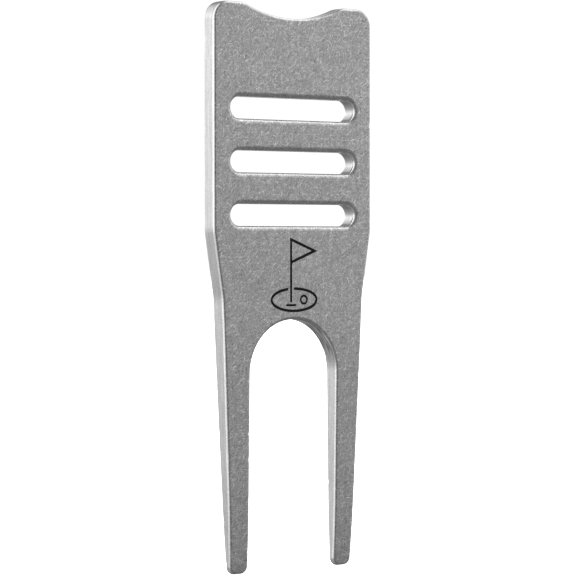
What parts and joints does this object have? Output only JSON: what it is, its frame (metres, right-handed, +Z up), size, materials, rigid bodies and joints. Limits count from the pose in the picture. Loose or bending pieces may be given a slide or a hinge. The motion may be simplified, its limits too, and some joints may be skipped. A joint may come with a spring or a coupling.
{
  "type": "golf divot repair tool",
  "caption": "Flat tumbled-metal divot repair tool: slotted grip with a thumb scoop, tapering to a two-pronged fork for lifting turf around a ball mark.",
  "frame": {"origin": "middle of the foot of the bounding box: on the plate's middle plane, level with the tips and midway between the two prongs", "axes": "+Z up the length from the tips to the thumb scoop, +X across the width, +Y through the thickness towards the plain back face, so the marked face looks towards -Y"},
  "size_m": [0.031, 0.0028, 0.0891],
  "materials": {
    "plate_metal": "tumbled satin with fine random scratches",
    "mark_enamel": "black enamel paint in an engraved line"
  },
  "bodies": {
    "root": {"plate": "plate_metal", "flagstick_enamel": "mark_enamel", "green_enamel": "mark_enamel", "cup_enamel": "mark_enamel", "ball_enamel": "mark_enamel"}
  },
  "joints": []
}
